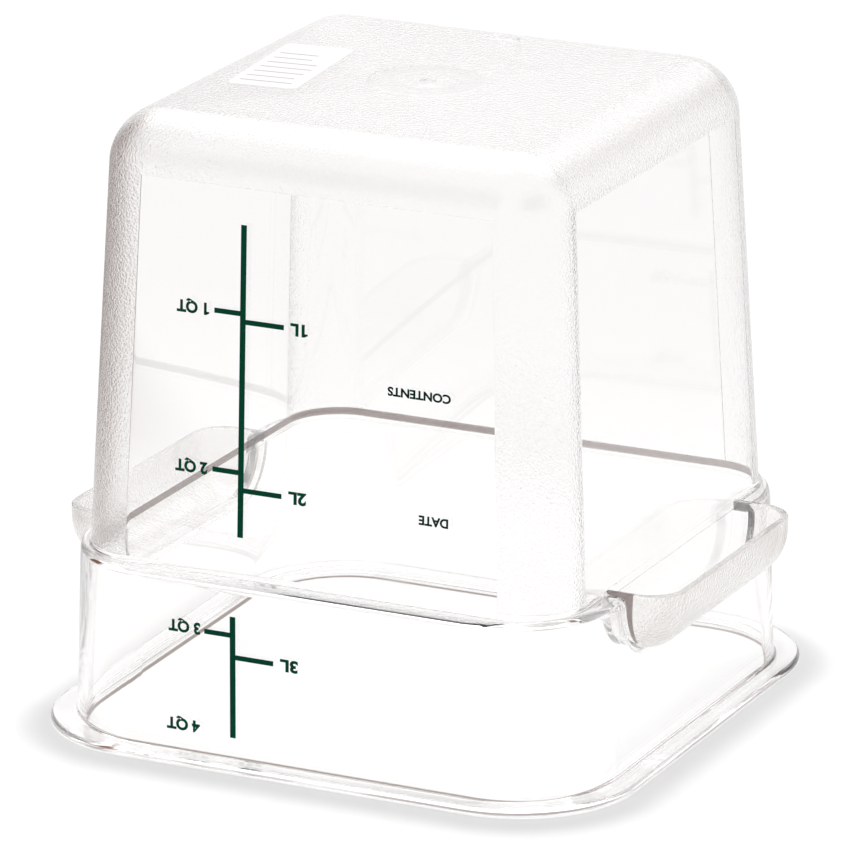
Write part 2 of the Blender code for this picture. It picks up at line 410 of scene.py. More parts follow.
@dataclass(frozen=True)
class ClearFinish:
    """Clear moulded plastic: polished or stippled, with painted shade in its colour where light that enters
    it is lost inside, and the handles tinted grey as painted shade.
    """

    tint: Point = (0.995, 0.993, 0.990)
    frosted: Point = (0.84, 0.82, 0.80)
    refraction: float = 1.585
    polish: float = 0.015
    grain: float = 0.0008
    grain_depth: float = 0.00026
    deep: Point = (0.090, 0.063, 0.058)
    deep_low: float = 0.0539
    deep_high: float = 0.0564
    deep_reach: float = 0.0770
    deep_edge: float = 0.00015
    joint_low: float = 0.0820
    joint_high: float = 0.0845
    joint_height: float = 0.0517
    joint_width: float = 0.0018
    joint_end: float = 0.0400

    def start(self, name: str, effects: Effects) -> tuple[bpy.types.Material, Tree, bpy.types.Node]:
        """A clear material with what is the same all over the moulding, faint smears included.

        Args:
            name: the material's name.
            effects: the shared shader groups.

        Returns:
            The material, its tree and its Principled node.
        """
        made, build, shader = new_material(name)
        shader.inputs["Base Color"].default_value = (*self.tint, 1.0)
        shader.inputs["IOR"].default_value = self.refraction
        shader.inputs["Transmission Weight"].default_value = 1.0
        marks = build.add("ShaderNodeGroup", {"Base": self.polish}, node_tree=effects.handling)
        build.feed(shader.inputs["Roughness"], marks.outputs["Roughness"])
        return made, build, shader

    def polished(self, effects: Effects) -> bpy.types.Material:
        """The smooth surface of the inside and the rim, with painted shade in the inside corner under the
        shoulder.

        Args:
            effects: the shared shader groups.

        Returns:
            The material.
        """
        made, build, shader = self.start("clear_polished", effects)
        # painted shade: the base colour turns dark in the inside corner under the shoulder
        build.feed(shader.inputs["Base Color"], build.blend(self.corner(build), self.tint, self.deep))
        return made

    def windowed(self, windows: Windows, effects: Effects) -> bpy.types.Material:
        """The tub's outside: grained but for its windows and its collar.

        Args:
            windows: where it is polished.
            effects: the shared shader groups.

        Returns:
            The material.
        """
        made, build, shader = self.start("clear_windowed", effects)
        grain = build.add("ShaderNodeGroup", {"Grain": self.grain}, node_tree=effects.stipple)
        mask = build.add("ShaderNodeGroup", windows.sizes(), node_tree=effects.window)
        height = build.product(grain.outputs["Height"], mask.outputs["Stippled"])
        build.bump(shader, height, self.grain_depth)
        return made

    def stippled(self, effects: Effects) -> bpy.types.Material:
        """The handles' outside: grained all over, tinted grey as painted shade, and darker still with painted
        shade beside their ends.

        Args:
            effects: the shared shader groups.

        Returns:
            The material.
        """
        made, build, shader = self.start("clear_stippled", effects)
        grain = build.add("ShaderNodeGroup", {"Grain": self.grain}, node_tree=effects.stipple)
        # painted shade: the handles' grey tint, and a dark band beside their ends
        build.feed(shader.inputs["Base Color"], build.blend(self.joint(build), self.frosted, self.deep))
        build.bump(shader, grain.outputs["Height"], self.grain_depth)
        return made

    def corner(self, build: Tree) -> Socket:
        """Where shade is painted into the colour, in the shoulder's inside corner, standing in for light from
        the inside that goes into the corner and is lost along the plate behind it.

        Args:
            build: the material's tree.

        Returns:
            The mask of the painted shade, 1 in the corner.
        """
        parts = build.parts(build.spot())
        above = build.ramp(parts["Z"], self.deep_low, self.deep_low + self.deep_edge)
        below = build.ramp(parts["Z"], self.deep_high, self.deep_high - self.deep_edge)
        out = build.math("MAXIMUM", build.math("ABSOLUTE", parts["X"]), build.math("ABSOLUTE", parts["Y"]))
        within = build.ramp(out, self.deep_reach + self.deep_edge, self.deep_reach)
        behind = build.add("ShaderNodeNewGeometry").outputs["Backfacing"]
        return build.product(above, below, within, build.inverse(behind))

    def joint(self, build: Tree) -> Socket:
        """Where shade is painted at a handle's ends, close to the collar, standing in for light that goes in
        there and is lost along the collar's wall.

        Args:
            build: the material's tree.

        Returns:
            The mask of the painted shade, 1 beside the joint.
        """
        parts = build.parts(build.spot())
        lean = (self.joint_high - self.joint_low) / self.joint_height
        face = build.math("ADD", build.math("MULTIPLY", parts["Z"], lean), self.joint_low)
        out = build.math("SUBTRACT", build.math("ABSOLUTE", parts["X"]), face)
        near = build.ramp(out, self.joint_width + self.deep_edge, self.joint_width)
        end = build.ramp(build.math("ABSOLUTE", parts["Y"]), self.joint_end, self.joint_end + self.deep_edge)
        behind = build.add("ShaderNodeNewGeometry").outputs["Backfacing"]
        return build.product(near, end, build.inverse(behind))


@dataclass(frozen=True)
class FilmFinish:
    """A film of ink or paper, uneven in its grain and faintly smeared."""

    name: str
    colour: Point
    worn_colour: Point
    matt: float
    shine: float
    grain: float
    grain_depth: float
    smear: float = 0.03

    def material(self, effects: Effects) -> bpy.types.Material:
        """The film's material.

        Args:
            effects: the shared shader groups.

        Returns:
            The material.
        """
        made, build, shader = new_material(self.name)
        pits = build.add("ShaderNodeGroup", {"Grain": self.grain}, node_tree=effects.stipple).outputs
        build.feed(shader.inputs["Base Color"], build.blend(pits["Pits"], self.colour, self.worn_colour))
        inputs = {"Base": self.matt, "Size": self.smear}
        marks = build.add("ShaderNodeGroup", inputs, node_tree=effects.handling)
        build.feed(shader.inputs["Roughness"], marks.outputs["Roughness"])
        shader.inputs["Specular IOR Level"].default_value = self.shine
        build.bump(shader, pits["Height"], self.grain_depth)
        return made


PRINT_INK = FilmFinish(
    "scale_ink",
    colour=(0.0, 0.074, 0.036),
    worn_colour=(0.002, 0.105, 0.060),
    matt=0.5,
    shine=0.06,
    grain=0.0004,
    grain_depth=0.00003,
)
WORD_INK = replace(PRINT_INK, name="word_ink", colour=(0.0, 0.022, 0.016), worn_colour=(0.002, 0.045, 0.032))
RULE_INK = replace(PRINT_INK, name="rule_ink", colour=(0.52, 0.515, 0.505), worn_colour=(0.63, 0.625, 0.615))
LABEL_PAPER = FilmFinish(
    "label_film",
    colour=(0.955, 0.955, 0.95),
    worn_colour=(0.90, 0.895, 0.885),
    matt=0.4,
    shine=0.5,
    grain=0.0008,
    grain_depth=0.00006,
    smear=0.006,
)


def stand(name: str, data: bpy.types.ID) -> bpy.types.Object:
    """Put a mesh, a curve or a camera into the scene as an object at the origin.

    Args:
        name: the object's name.
        data: what it holds.

    Returns:
        The object.
    """
    made = bpy.data.objects.new(name, data)
    bpy.context.scene.collection.objects.link(made)
    return made


def plain_mesh(made: bpy.types.Object) -> bpy.types.Mesh:
    """An object as its curve or modifiers now shape it, as a mesh of its own."""
    depsgraph = bpy.context.evaluated_depsgraph_get()
    return bpy.data.meshes.new_from_object(made.evaluated_get(depsgraph), depsgraph=depsgraph)


def report(made: bpy.types.Object) -> None:
    """Log a finished piece."""
    log.info("%s: %d faces", made.name, len(made.data.polygons))


def add_rings(mesh: bmesh.types.BMesh, rings: Sequence[Sequence[Point]]) -> None:
    """Add a closed form through rings of equal point counts, with both ends capped.

    Args:
        mesh: the mesh that it is added to.
        rings: the rings, each a list of points.
    """
    rows = [[mesh.verts.new(point) for point in ring] for ring in rings]
    for row, above in zip(rows, rows[1:]):
        for place, corner in enumerate(row):
            after = (place + 1) % len(row)
            mesh.faces.new((corner, row[after], above[after], above[place]))
    mesh.faces.new(rows[0])
    mesh.faces.new(rows[-1])


def shape(name: str, rings: Sequence[Sequence[Point]], finish: bpy.types.Material) -> bpy.types.Object:
    """A closed object through rings of equal point counts.

    Args:
        name: the object's name.
        rings: the rings, each a list of points.
        finish: the material of all its faces.

    Returns:
        The object, smooth shaded, its faces pointing out.
    """
    mesh = bmesh.new()
    add_rings(mesh, rings)
    bmesh.ops.recalc_face_normals(mesh, faces=mesh.faces)
    for face in mesh.faces:
        face.smooth = True
    data = bpy.data.meshes.new(name)
    mesh.to_mesh(data)
    mesh.free()
    data.materials.append(finish)
    return stand(name, data)


def settle(made: bpy.types.Object) -> None:
    """Turn an object's live modifiers into its plain mesh.

    Args:
        made: the object, which keeps its name.
    """
    data = plain_mesh(made)
    made.modifiers.clear()
    old = made.data
    made.data = data
    data.name = made.name
    bpy.data.meshes.remove(old)


def run(made: bpy.types.Object, tree: bpy.types.NodeTree, inputs: dict[str, Value]) -> None:
    """Run a geometry tree on an object, which gets what the tree makes as its plain mesh.

    Args:
        made: the object.
        tree: the tree.
        inputs: what the tree's inputs get, by name.
    """
    step = made.modifiers.new(tree.name, "NODES")
    step.node_group = tree
    sockets = [item for item in tree.interface.items_tree if item.item_type == "SOCKET"]
    places = {item.name: item.identifier for item in sockets if item.in_out == "INPUT"}
    for name, value in inputs.items():
        step[places[name]] = value
    settle(made)


def join(target: bpy.types.Object, tool: bpy.types.Object, how: Join) -> None:
    """Set a closed shape against the target and take it out of the scene.

    Args:
        target: the object that is changed.
        tool: the shape to add or cut.
        how: whether it is added or cut.
    """
    step = target.modifiers.new(tool.name, "BOOLEAN")
    step.operation = how.value
    step.object = tool
    step.solver = "EXACT"
    step.material_mode = "TRANSFER"
    settle(target)
    bpy.data.objects.remove(tool)


def loft_tree() -> bpy.types.NodeTree:
    """Geometry nodes that sweep a section round a square with round corners.

    Returns:
        A tree that reads the section's points, with their attributes corner and skin.
    """
    inputs = {"Section": Kind.GEOMETRY, "Corner Steps": Kind.COUNT, "Seam": Kind.NUMBER}
    inputs |= {"Inside Finish": Kind.MATERIAL, "Outside Finish": Kind.MATERIAL}
    build, given = new_group("GeometryNodeTree", "square_loft", inputs, {"Tub": Kind.GEOMETRY})
    section = given["Section"]
    count = build.add("GeometryNodeAttributeDomainSize", {"Geometry": section}).outputs["Point Count"]
    per_corner = build.math("ADD", given["Corner Steps"], 1.0)
    round_count = build.math("ADD", build.math("MULTIPLY", per_corner, 4.0), 1.0)
    grid = build.add("GeometryNodeMeshGrid", {"Vertices X": round_count, "Vertices Y": count}).outputs["Mesh"]
    index = build.add("GeometryNodeInputIndex").outputs[0]

    def whole(value: Socket, size: Socket) -> Socket:
        """How many whole sizes a count holds."""
        return build.math("FLOOR", build.math("DIVIDE", build.math("ADD", value, 0.5), size))

    def rest(value: Socket, wholes: Socket, size: Socket) -> Socket:
        """What is left of a count without its whole sizes."""
        return build.math("SUBTRACT", value, build.math("MULTIPLY", wholes, size))

    around = whole(index, count)
    along = rest(index, around, count)

    def sample(value: Socket, kind: str) -> Socket:
        """The section's value at the point that a grid vertex stands for."""
        places = {"Geometry": section, "Value": value, "Index": along}
        return build.add("GeometryNodeSampleIndex", places, data_type=kind, domain="POINT").outputs["Value"]

    parts = build.parts(sample(build.add("GeometryNodeInputPosition").outputs[0], "FLOAT_VECTOR"))
    corner = sample(build.attribute("corner"), "FLOAT")
    skin = sample(build.attribute("skin"), "FLOAT")
    turn = whole(around, per_corner)
    share = build.math("DIVIDE", rest(around, turn, per_corner), given["Corner Steps"])
    angle = build.math("MULTIPLY", build.math("ADD", turn, share), pi / 2)
    diagonal = build.math("MULTIPLY", build.math("ADD", turn, 0.5), pi / 2)
    middle = build.math("SUBTRACT", parts["X"], corner)

    def coordinate(function: str) -> Socket:
        """X or Y of a point of the ring, by COSINE or SINE."""
        centre = build.math("MULTIPLY", build.math("SIGN", build.math(function, diagonal)), middle)
        return build.math("ADD", centre, build.math("MULTIPLY", corner, build.math(function, angle)))

    place = build.vector(coordinate("COSINE"), coordinate("SINE"), parts["Z"])
    inputs = {"Geometry": grid, "Name": "skin", "Value": skin}
    kept = build.add("GeometryNodeStoreNamedAttribute", inputs, data_type="FLOAT", domain="POINT").outputs[0]
    moved = build.add("GeometryNodeSetPosition", {"Geometry": kept, "Position": place}).outputs[0]
    inputs = {"Geometry": moved, "Distance": given["Seam"]}
    merged = build.add("GeometryNodeMergeByDistance", inputs).outputs[0]
    smooth = build.add("GeometryNodeSetShadeSmooth", {"Geometry": merged}).outputs[0]
    real = build.add("GeometryNodeRealizeInstances", {"Geometry": smooth}).outputs[0]
    inputs = {"Geometry": real, "Material": given["Inside Finish"]}
    inner = build.add("GeometryNodeSetMaterial", inputs).outputs[0]
    outside = build.math("GREATER_THAN", build.attribute("skin"), WHOLLY_OUTSIDE)
    inputs = {"Geometry": inner, "Selection": outside, "Material": given["Outside Finish"]}
    outer = build.add("GeometryNodeSetMaterial", inputs).outputs[0]
    build.add("NodeGroupOutput", {"Tub": outer})
    return build.tree


@dataclass(frozen=True)
class Moulding:
    """The container itself: a tub with a flanged rim, a stepped shoulder and two scoop handles."""

    rim_half: float
    height: float
    handle_far: float
    rim_reach: float = 0.0067
    rim_thickness: float = 0.0024
    rim_corner: float = 0.0370
    rim_edge_round: float = 0.0010
    rim_fillet: float = 0.0012
    collar_height: float = 0.0517
    collar_spread: float = 0.0008
    collar_corner_low: float = 0.0335
    collar_corner_high: float = 0.0350
    shoulder_round: float = 0.0028
    shoulder_fillet: float = 0.0015
    shoulder_edge: float = 0.0006
    body_half_high: float = 0.0725
    body_half_low: float = 0.0780
    body_corner_low: float = 0.0190
    body_corner_high: float = 0.0178
    base_round: float = 0.0174
    flat_shares: tuple[float, ...] = (0.8, 0.4)
    wall: float = 0.0024
    mouth_round: float = 0.0008
    gate_radius: float = 0.0022
    gate_depth: float = 0.0006
    apron_radius: float = 0.0066
    step_radius: float = 0.0180
    step_width: float = 0.0012
    step_depth: float = 0.00012
    oval_half_x: float = 0.0044
    oval_half_y: float = 0.0020
    oval_y: float = 0.0530
    oval_rise: float = 0.00040
    least_corner: float = 0.0010
    handle_half_length: float = 0.0460
    handle_corner: float = 0.0105
    handle_rise: float = 0.0010
    handle_skirt: float = 0.0040
    handle_depth: float = 0.0158
    handle_wall: float = 0.0021
    handle_lip: float = 0.0007
    recess_step: float = 0.00005
    pad_fillet: float = 0.0018
    pad_round: float = 0.0015
    root_share: float = 0.2
    overrun: float = 0.0040
    corner_steps: int = 24
    arc_steps: int = 10
    base_steps: int = 20
    seam: float = 0.000002
    crease: float = radians(35)

    @property
    def collar_half_low(self) -> float:
        """Half the collar's width at the rim."""
        return self.rim_half - self.rim_reach

    @property
    def collar_half_high(self) -> float:
        """Half the collar's width at the shoulder."""
        return self.collar_half_low - self.collar_spread

    @property
    def shelf(self) -> float:
        """The height of the shoulder's flat shelf."""
        return self.collar_height + self.shoulder_round

    @property
    def shoulder_top(self) -> float:
        """Where the body's plain wall starts."""
        return self.shelf + self.shoulder_fillet

    @property
    def base_start(self) -> float:
        """Where the body's plain wall ends and the base's round starts."""
        return self.height - self.base_round

    @property
    def handle_top(self) -> float:
        """The height of the handles' upper edge."""
        return self.shelf + self.handle_rise

    @property
    def skirt_foot(self) -> float:
        """Where a handle's upright skirt ends and its bowl starts."""
        return self.handle_top - self.handle_skirt

    @property
    def bowl_span(self) -> float:
        """How far a handle's bowl runs in from its far face, to the middle of the collar's wall."""
        return self.handle_far - self.collar_half_high + self.wall / 2

    def collar_at(self, z: float) -> float:
        """Half the collar's width at height z."""
        return mix(self.collar_half_low, self.collar_half_high, z / self.collar_height)

    def body_at(self, z: float) -> float:
        """Half the body's width at height z."""
        share = (z - self.shoulder_top) / (self.base_start - self.shoulder_top)
        return mix(self.body_half_low, self.body_half_high, share)

    def recess_at(self, z: float) -> float:
        """Where the space behind a handle ends at height z."""
        return self.body_at(z) + self.recess_step

    def shoulder_corner(self, half: float) -> float:
        """The plan corner radius on the shoulder, where half the tub's width is this."""
        share = (half - self.body_half_low) / (self.collar_half_high - self.body_half_low)
        return mix(self.body_corner_low, self.collar_corner_high, share)

    def outer_section(self) -> list[Section]:
        """The outside's section, from the collar's foot up to the base's flat.

        Returns:
            Its points in order.
        """
        points = []
        for angle in quarter(self.arc_steps):
            half = self.collar_half_low + self.rim_fillet * (1 - sin(angle))
            z = self.rim_thickness + self.rim_fillet * (1 - cos(angle))
            points.append(Section(half, z, self.collar_corner_low + half - self.collar_half_low))
        for angle in quarter(self.arc_steps):
            half = self.collar_half_high - self.shoulder_round * (1 - cos(angle))
            z = self.collar_height + self.shoulder_round * sin(angle)
            points.append(Section(half, z, self.shoulder_corner(half)))
        for angle in quarter(self.arc_steps):
            half = self.body_half_low + self.shoulder_fillet * (1 - sin(angle))
            z = self.shoulder_top - self.shoulder_fillet * cos(angle)
            points.append(Section(half, z, self.shoulder_corner(half)))
        for angle in quarter(self.base_steps):
            inset = self.base_round * (1 - cos(angle))
            z = self.base_start + self.base_round * sin(angle)
            points.append(Section(self.body_half_high - inset, z, self.body_corner_high - inset))
        return points

    def inner_section(self, outer: Sequence[Section]) -> list[Section]:
        """The outside's section moved in by the wall, square to it, with a crisp edge under the shoulder.

        Args:
            outer: the outside's section.

        Returns:
            The inside's points in the same order.
        """
        points = []
        for place, (half, z, corner) in enumerate(outer):
            before = outer[max(place - 1, 0)]
            after = outer[min(place + 1, len(outer) - 1)]
            wider, rise = after.half - before.half, after.z - before.z
            length = hypot(wider, rise)
            aside = self.wall * rise / length
            points.append(Section(half - aside, z + self.wall * wider / length, corner - aside))
        first = 2 * (self.arc_steps + 1)
        for place, angle in enumerate(quarter(self.arc_steps)):
            half = self.body_half_low - self.wall + self.shoulder_edge * (1 - sin(angle))
            z = self.shelf - self.wall + self.shoulder_edge * (1 - cos(angle))
            points[first + place] = Section(half, z, self.body_corner_low - self.wall)
        return points

    def rim_section(self) -> list[Section]:
        """The rim's section, out along its underside, round its edge and back in over its top.

        Returns:
            Its points in order.
        """
        lower = []
        for angle in quarter(self.arc_steps):
            drop = self.rim_edge_round * (1 - sin(angle))
            z = self.rim_edge_round * (1 - cos(angle))
            lower.append(Section(self.rim_half - drop, z, self.rim_corner - drop))
        return lower + [p._replace(z=self.rim_thickness - p.z) for p in reversed(lower)]

    def base_section(self) -> list[Section]:
        """The base's flat, in over the low step round the gate to the dimple that the gate leaves.

        Returns:
            Its points in order.
        """
        flat = self.body_half_high - self.base_round
        points = []
        for share in self.flat_shares:
            out = mix(self.step_radius, flat, share)
            points.append(Section(out, self.height, self.step_radius * (1 - share)))
        for angle in quarter(self.arc_steps):
            out = self.step_radius - self.step_width * angle / (pi / 2)
            points.append(Section(out, self.height - self.step_depth * (1 - cos(2 * angle)) / 2, out))
        level = self.height - self.step_depth
        points.append(Section(self.apron_radius, level, self.apron_radius))
        edge = self.gate_depth / 2
        for angle in quarter(self.arc_steps):
            out = self.gate_radius + edge * (1 - sin(angle))
            points.append(Section(out, level - edge * (1 - cos(angle)), out))
        for angle in quarter(self.arc_steps):
            out = self.gate_radius - edge * (1 - cos(angle))
            points.append(Section(out, level - edge - edge * sin(angle), out))
        points.append(Section(0.0, level - self.gate_depth, 0.0))
        return points

    def section(self) -> list[tuple[Section, Skin]]:
        """The tub's whole section, from the middle of the base's inside round to the middle of its outside.

        Beside the rim's fillet the inside runs straight on, down to a round edge at the mouth.

        Returns:
            Its points with the skin that each is on.
        """
        outer = self.outer_section()
        inner = self.inner_section(outer)
        mouth = self.collar_half_low - self.wall
        mouth_corner = self.collar_corner_low - self.wall
        inside = [Section(0.0, inner[-1].z, 0.0)] + inner[: self.arc_steps : -1]
        for angle in quarter(self.arc_steps):
            out = self.mouth_round * (1 - cos(angle))
            inside.append(Section(mouth + out, self.mouth_round * (1 - sin(angle)), mouth_corner + out))
        inside += self.rim_section()
        outside = outer + self.base_section()
        return [(p, Skin.INSIDE) for p in inside] + [(p, Skin.OUTSIDE) for p in outside]

    def tub(self, inside: bpy.types.Material, outside: bpy.types.Material) -> bpy.types.Object:
        """The tub without its handles, lofted by Geometry Nodes from its section.

        Args:
            inside: the finish of the inside and the rim.
            outside: the finish of the outside.

        Returns:
            The tub's object.
        """
        points = self.section()
        data = bpy.data.meshes.new("container_section")
        edges = [(place, place + 1) for place in range(len(points) - 1)]
        data.from_pydata([(p.half, 0.0, p.z) for p, _ in points], edges, [])
        corners = [min(p.half, max(p.corner, self.least_corner)) for p, _ in points]
        skins = [skin.value for _, skin in points]
        for name, values in (("corner", corners), ("skin", skins)):
            data.attributes.new(name, "FLOAT", "POINT").data.foreach_set("value", values)
        made = stand("container_moulding", data)
        inputs = titled(self, "corner_steps", "seam") | {"Inside Finish": inside, "Outside Finish": outside}
        run(made, loft_tree(), inputs)
        mesh = bmesh.new()
        mesh.from_mesh(made.data)
        bmesh.ops.recalc_face_normals(mesh, faces=mesh.faces)
        mesh.to_mesh(made.data)
        mesh.free()
        return made

    def pocket(self, side: Side, near: float, inset: float, z: float) -> list[Point]:
        """A handle's plan outline at one height, its two far corners round.

        Args:
            side: the handle's side.
            near: where its near side is, from the middle.
            inset: how far it is moved in from the handle's outside.
            z: its height.

        Returns:
            Its points in order.
        """
        far = self.handle_far - inset
        half_length = self.handle_half_length - inset
        corner = self.handle_corner * (far - near) / (self.handle_far - near)
        ring = []
        for turn, sy in ((-1, -1), (0, 1)):
            for angle in quarter(self.corner_steps):
                a = angle + turn * pi / 2
                y = sy * (half_length - corner) + corner * sin(a)
                ring.append((far - corner + corner * cos(a), y, z))
        ring += [(near, half_length, z), (near, -half_length, z)]
        return [(side.value * x, y, z) for x, y, z in ring]

    def bowl(self, thickness: float) -> list[tuple[float, float]]:
        """The section of a handle's bowl, from its skirt down to the collar.

        Args:
            thickness: how far it is moved in from the handle's outside.

        Returns:
            How far each point is inside the handle's far face, and its height.
        """
        span = self.bowl_span - thickness
        depth = self.handle_depth - thickness
        arc = quarter(self.base_steps)
        return [(thickness + span * (1 - cos(a)), self.skirt_foot - depth * sin(a)) for a in arc]

    def scoop(self, side: Side, finish: bpy.types.Material) -> bpy.types.Object:
        """A handle's outer shape, rooted in the collar's wall and, over the shelf, in the body's wall.

        Args:
            side: the handle's side.
            finish: its material.

        Returns:
            Its object.
        """
        low_root = self.collar_half_high - self.wall * (1 - self.root_share)
        high_root = self.body_half_low - self.wall * self.root_share
        rings = [self.pocket(side, low_root, inset, z) for inset, z in reversed(self.bowl(0))]
        rings.append(self.pocket(side, high_root, 0, self.shelf - self.wall / 2))
        for angle in quarter(self.arc_steps):
            inset = self.handle_lip * (1 - cos(angle))
            z = self.handle_top - self.handle_lip * (1 - sin(angle))
            rings.append(self.pocket(side, high_root, inset, z))
        return shape(f"scoop_{side.name.lower()}", rings, finish)

    def trough(self, side: Side, finish: bpy.types.Material) -> bpy.types.Object:
        """The finger space inside a handle, running out past its top.

        Args:
            side: the handle's side.
            finish: its material.

        Returns:
            Its object.
        """
        places = list(reversed(self.bowl(self.handle_wall)))
        for angle in quarter(self.arc_steps):
            lip = self.handle_lip * (1 - cos(angle))
            places.append((self.handle_wall - lip, self.handle_top - self.handle_lip * (1 - sin(angle))))
        places.append((self.handle_wall - self.handle_lip, self.handle_top + self.overrun))
        rings = [self.pocket(side, self.recess_at(z), inset, z) for inset, z in places]
        return shape(f"trough_{side.name.lower()}", rings, finish)

    def pad_top(self, x: float) -> float:
        """The middle of the wall's thickness, in the turn from the body's wall to the shelf.

        Args:
            x: how far out it is asked for.

        Returns:
            Its height there.
        """
        middle = self.body_half_low + self.shoulder_fillet
        radius = self.shoulder_fillet + self.wall / 2
        return self.shoulder_top - sqrt(max(radius**2 - max(middle - x, 0) ** 2, 0))

    def pad_ring(self, side: Side, share: float, spread: float) -> list[Point]:
        """The bowl's outline across the wall, a share of the way from the pad's face to the collar's inside.

        Args:
            side: the handle's side.
            share: the share of the way.
            spread: how much wider the outline is than the bowl.

        Returns:
            Its points in order.
        """
        spread += self.wall - self.handle_wall
        at_top = mix(self.recess_at(self.shoulder_top), self.collar_at(self.shoulder_top), share)
        half = [(self.handle_half_length + spread, self.pad_top(at_top - self.wall))]
        for a in quarter(self.base_steps):
            across = self.handle_half_length - self.bowl_span + (self.bowl_span + spread) * cos(a)
            half.append((across, self.skirt_foot - (self.handle_depth + spread) * sin(a)))
        ring = []
        for y, z in half + [(-y, z) for y, z in reversed(half)]:
            ring.append((side.value * (mix(self.recess_at(z), self.collar_at(z), share) - self.wall), y, z))
        return ring

    def pad(self, side: Side, finish: bpy.types.Material) -> bpy.types.Object:
        """The wall behind a handle, which stands into the cavity with a round edge and a fillet.

        Args:
            side: the handle's side.
            finish: its material.

        Returns:
            Its object.
        """
        depth = self.collar_at(self.shelf) - self.recess_at(self.shelf)
        rings = []
        for angle in reversed(quarter(self.arc_steps)):
            share = self.pad_round * (1 - sin(angle)) / depth
            rings.append(self.pad_ring(side, share, -self.pad_round * (1 - cos(angle))))
        for angle in reversed(quarter(self.arc_steps)):
            share = 1 - self.pad_fillet * (1 - cos(angle)) / depth
            rings.append(self.pad_ring(side, share, self.pad_fillet * (1 - sin(angle))))
        rings.append(self.pad_ring(side, 1 + self.wall * self.root_share / depth, self.pad_fillet))
        return shape(f"pad_{side.name.lower()}", rings, finish)

    def oval(self, finish: bpy.types.Material) -> bpy.types.Object:
        """The plain low oval at the base's back edge, with a round edge.

        Args:
            finish: its material.

        Returns:
            Its object.
        """
        turns = [pi * place / self.corner_steps for place in range(2 * self.corner_steps)]
        edge = self.oval_rise
        places = [(0.0, self.height - self.wall / 2)]
        places += [(edge * (1 - cos(a)), self.height + edge * sin(a)) for a in quarter(self.arc_steps)]
        rings = []
        for inset, z in places:
            across, along = self.oval_half_x - inset, self.oval_half_y - inset
            rings.append([(across * cos(a), self.oval_y + along * sin(a), z) for a in turns])
        return shape("oval", rings, finish)

    def build(self, finish: ClearFinish, effects: Effects) -> bpy.types.Object:
        """The whole moulding.

        Args:
            finish: its clear plastic.
            effects: the shared shader groups.

        Returns:
            Its object, in place of the frame's container.
        """
        polished = finish.polished(effects)
        made = self.tub(polished, finish.windowed(Windows(), effects))
        grained = finish.stippled(effects)
        for side in Side:
            join(made, self.pad(side, polished), Join.ADD)
            join(made, self.scoop(side, grained), Join.ADD)
        for side in Side:
            join(made, self.trough(side, polished), Join.CUT)
        join(made, self.oval(polished), Join.ADD)
        made.data.set_sharp_from_angle(angle=self.crease)
        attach(made, BODY)
        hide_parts("container")
        report(made)
        return made


@dataclass(frozen=True)
class Wall:
    """A flat sloping stretch of the printed face: two heights and half the tub's width at each."""

    low: float
    high: float
    half_low: float
    half_high: float

    def face_at(self, z: float) -> float:
        """Where the face is along Y at height z."""
        return -mix(self.half_low, self.half_high, (z - self.low) / (self.high - self.low))


def scale_tree() -> bpy.types.NodeTree:
    """Geometry nodes that print a bar with ticks beside it and lay them on a sloping wall.

    Returns:
        A tree that reads the ticks' middles, with their attribute reach.
    """
    sizes = ("Bar X", "Foot", "Top", "Bar Line", "Tick Line", "Film", "Gap")
    sizes += ("Low", "High", "Half Low", "Half High")
    inputs = {"Marks": Kind.GEOMETRY} | dict.fromkeys(sizes, Kind.NUMBER) | {"Ink": Kind.MATERIAL}
    build, given = new_group("GeometryNodeTree", "printed_scale", inputs, {"Print": Kind.GEOMETRY})
    film = given["Film"]
    size = build.vector(given["Bar Line"], film, build.math("SUBTRACT", given["Top"], given["Foot"]))
    middle = build.math("MULTIPLY", build.math("ADD", given["Top"], given["Foot"]), 0.5)
    bar = build.add("GeometryNodeMeshCube", {"Size": size}).outputs["Mesh"]
    inputs = {"Geometry": bar, "Translation": build.vector(given["Bar X"], 0.0, middle)}
    bar = build.add("GeometryNodeTransform", inputs).outputs[0]
    unit = build.add("GeometryNodeMeshCube", {"Size": UNIT_CUBE}).outputs["Mesh"]
    stretch = build.vector(build.attribute("reach"), film, given["Tick Line"])
    inputs = {"Points": given["Marks"], "Instance": unit, "Scale": stretch}
    ticks = build.add("GeometryNodeInstanceOnPoints", inputs).outputs[0]
    ticks = build.add("GeometryNodeRealizeInstances", {"Geometry": ticks}).outputs[0]
    union = build.add("GeometryNodeMeshBoolean", {}, operation="UNION", solver="EXACT")
    for part in (bar, ticks):
        build.feed(union.inputs["Mesh 2"], part)
    half = build.slope(given, build.parts(build.add("GeometryNodeInputPosition").outputs[0])["Z"])
    off = build.math("ADD", given["Gap"], build.math("MULTIPLY", film, 0.5))
    out = build.math("MULTIPLY", build.math("ADD", half, off), -1.0)
    inputs = {"Geometry": union.outputs["Mesh"], "Offset": build.vector(0.0, out, 0.0)}
    laid = build.add("GeometryNodeSetPosition", inputs).outputs[0]
    real = build.add("GeometryNodeRealizeInstances", {"Geometry": laid}).outputs[0]
    inked = build.add("GeometryNodeSetMaterial", {"Geometry": real, "Material": given["Ink"]}).outputs[0]
    build.add("NodeGroupOutput", {"Print": inked})
    return build.tree


class Words(NamedTuple):
    """A word or a mark's number, upside down on the wall: its text, its middle, and its width and height."""

    text: str
    x: float
    z: float
    width: float
    height: float


